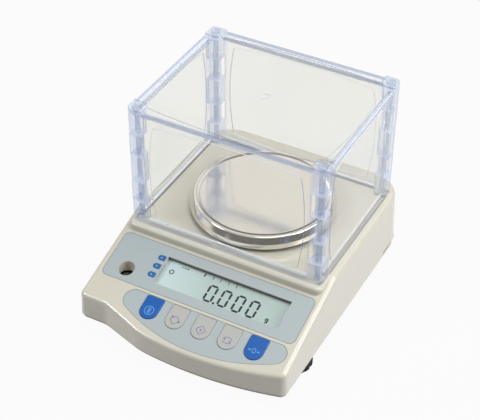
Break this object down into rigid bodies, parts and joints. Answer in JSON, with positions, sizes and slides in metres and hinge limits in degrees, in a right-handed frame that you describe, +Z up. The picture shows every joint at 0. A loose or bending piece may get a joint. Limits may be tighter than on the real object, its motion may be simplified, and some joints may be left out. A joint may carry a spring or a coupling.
{
  "type": "precision balance",
  "caption": "Top-loading precision balance: sloped console with display and keys, round steel pan, clear draft shield with lid, levelling feet.",
  "frame": {"origin": "on the surface it stands on, under the middle of its outline", "axes": "+Z up, +Y from the console to the back, +X to the right as the user faces the display"},
  "size_m": [0.181, 0.235, 0.1672],
  "materials": {
    "housing": "smooth moulded ABS",
    "housing_base": "fine moulded texture",
    "label": "satin film",
    "key_blue": "smooth",
    "key_beige": "smooth",
    "lcd_glass": "liquid crystal glass",
    "clear": "polished clear plastic",
    "black_plastic": "moulded",
    "white_plastic": "moulded",
    "pan_steel": "satin stainless steel",
    "steel": "bright zinc plated",
    "brass": "turned",
    "cast_alloy": "die cast",
    "machined_alloy": "machined",
    "rubber": "moulded",
    "board": "solder mask",
    "liquid": "coloured spirit",
    "ribbon": "flat cable"
  },
  "bodies": {
    "root": {"upper_housing": "housing", "lower_housing": "housing_base", "housing_screws": "steel", "foot_inserts": "brass", "display_label": "label", "keypad_label": "label", "lcd_window": "clear", "lcd_panel": "lcd_glass", "lcd_frame": "white_plastic", "display_board": "board", "display_board_screws": "steel", "key_switches": "black_plastic", "vial_holder": "white_plastic", "level_vial": "clear", "vial_liquid": "liquid", "vial_lens": "clear", "sensor_frame": "cast_alloy", "sensor_frame_screws": "steel", "fork_lever": "machined_alloy", "tuning_fork": "machined_alloy", "fork_piezos": "brass", "overload_stop_screw": "steel", "main_board": "board", "main_board_chips": "black_plastic", "main_board_screws": "steel", "serial_port": "steel", "serial_jackscrews": "steel", "dc_jack": "black_plastic", "ribbon_sockets": "white_plastic", "ribbon_cable": "ribbon"},
    "load_carrier": {"floating_column": "machined_alloy", "load_shaft": "steel"},
    "upper_arm": {"upper_flexure_arm": "machined_alloy"},
    "lower_arm": {"lower_flexure_arm": "machined_alloy"},
    "support": {"pan_support": "black_plastic", "pan_cushions": "rubber"},
    "pan": {"weighing_pan": "pan_steel"},
    "shield": {"shield_front_panel": "clear", "shield_back_panel": "clear", "shield_left_panel": "clear", "shield_right_panel": "clear", "shield_corner_pins": "steel"},
    "lid": {"shield_lid": "clear"},
    "key_1": {"key_1": "key_blue"},
    "key_2": {"key_2": "key_beige"},
    "key_3": {"key_3": "key_beige"},
    "key_4": {"key_4": "key_beige"},
    "key_5": {"key_5": "key_blue"},
    "foot_1": {"foot_stud_1": "steel"},
    "foot_1_wheel": {"foot_knob_1": "black_plastic"},
    "foot_2": {"foot_stud_2": "steel"},
    "foot_2_wheel": {"foot_knob_2": "black_plastic"},
    "foot_3": {"foot_stud_3": "steel"},
    "foot_3_wheel": {"foot_knob_3": "black_plastic"},
    "foot_4": {"foot_stud_4": "steel"},
    "foot_4_wheel": {"foot_knob_4": "black_plastic"}
  },
  "joints": [
    {"name": "key_1_press", "type": "slide", "parent": "root", "child": "key_1", "axis": [0, -0.304, 0.9527], "range_m": [-0.0005, 0], "stiffness_N_per_m": 3000},
    {"name": "key_2_press", "type": "slide", "parent": "root", "child": "key_2", "axis": [0, -0.304, 0.9527], "range_m": [-0.0005, 0], "stiffness_N_per_m": 3000},
    {"name": "key_3_press", "type": "slide", "parent": "root", "child": "key_3", "axis": [0, -0.304, 0.9527], "range_m": [-0.0005, 0], "stiffness_N_per_m": 3000},
    {"name": "key_4_press", "type": "slide", "parent": "root", "child": "key_4", "axis": [0, -0.304, 0.9527], "range_m": [-0.0005, 0], "stiffness_N_per_m": 3000},
    {"name": "key_5_press", "type": "slide", "parent": "root", "child": "key_5", "axis": [0, -0.304, 0.9527], "range_m": [-0.0005, 0], "stiffness_N_per_m": 3000},
    {"name": "load_travel", "type": "slide", "parent": "root", "child": "load_carrier", "axis": [0, 0, 1], "range_m": [-0.0003, 0], "stiffness_N_per_m": 60000},
    {"name": "upper_arm_flex", "type": "hinge", "parent": "root", "child": "upper_arm", "pos_m": [0, 0.0677, 0.045], "axis": [1, 0, 0], "range_deg": [-0.02, 0.76]},
    {"name": "lower_arm_flex", "type": "hinge", "parent": "root", "child": "lower_arm", "pos_m": [0, 0.0677, 0.025], "axis": [1, 0, 0], "range_deg": [-0.02, 0.76]},
    {"name": "support_lift", "type": "slide", "parent": "load_carrier", "child": "support", "axis": [0, 0, 1], "range_m": [0, 0.03]},
    {"name": "pan_lift", "type": "slide", "parent": "support", "child": "pan", "axis": [0, 0, 1], "range_m": [0, 0.05]},
    {"name": "shield_lift", "type": "slide", "parent": "root", "child": "shield", "axis": [0, 0, 1], "range_m": [0, 0.12]},
    {"name": "lid_lift", "type": "slide", "parent": "shield", "child": "lid", "axis": [0, 0, 1], "range_m": [0, 0.05]},
    {"name": "foot_1_height", "type": "slide", "parent": "root", "child": "foot_1", "axis": [0, 0, -1], "range_m": [-0.002, 0.002]},
    {"name": "foot_1_turn", "type": "hinge", "parent": "foot_1", "child": "foot_1_wheel", "pos_m": [-0.075, -0.06, 0], "axis": [0, 0, -1], "range_deg": [-720, 720]},
    {"name": "foot_2_height", "type": "slide", "parent": "root", "child": "foot_2", "axis": [0, 0, -1], "range_m": [-0.002, 0.002]},
    {"name": "foot_2_turn", "type": "hinge", "parent": "foot_2", "child": "foot_2_wheel", "pos_m": [0.075, -0.06, 0], "axis": [0, 0, -1], "range_deg": [-720, 720]},
    {"name": "foot_3_height", "type": "slide", "parent": "root", "child": "foot_3", "axis": [0, 0, -1], "range_m": [-0.002, 0.002]},
    {"name": "foot_3_turn", "type": "hinge", "parent": "foot_3", "child": "foot_3_wheel", "pos_m": [-0.062, 0.084, 0], "axis": [0, 0, -1], "range_deg": [-720, 720]},
    {"name": "foot_4_height", "type": "slide", "parent": "root", "child": "foot_4", "axis": [0, 0, -1], "range_m": [-0.002, 0.002]},
    {"name": "foot_4_turn", "type": "hinge", "parent": "foot_4", "child": "foot_4_wheel", "pos_m": [0.062, 0.084, 0], "axis": [0, 0, -1], "range_deg": [-720, 720]}
  ],
  "couplings": [
    {"joint": "upper_arm_flex", "follows": "load_travel", "rad_per_m": -42.735},
    {"joint": "lower_arm_flex", "follows": "load_travel", "rad_per_m": -42.735},
    {"joint": "foot_1_turn", "follows": "foot_1_height", "rad_per_m": 6283.2},
    {"joint": "foot_2_turn", "follows": "foot_2_height", "rad_per_m": 6283.2},
    {"joint": "foot_3_turn", "follows": "foot_3_height", "rad_per_m": 6283.2},
    {"joint": "foot_4_turn", "follows": "foot_4_height", "rad_per_m": 6283.2}
  ]
}
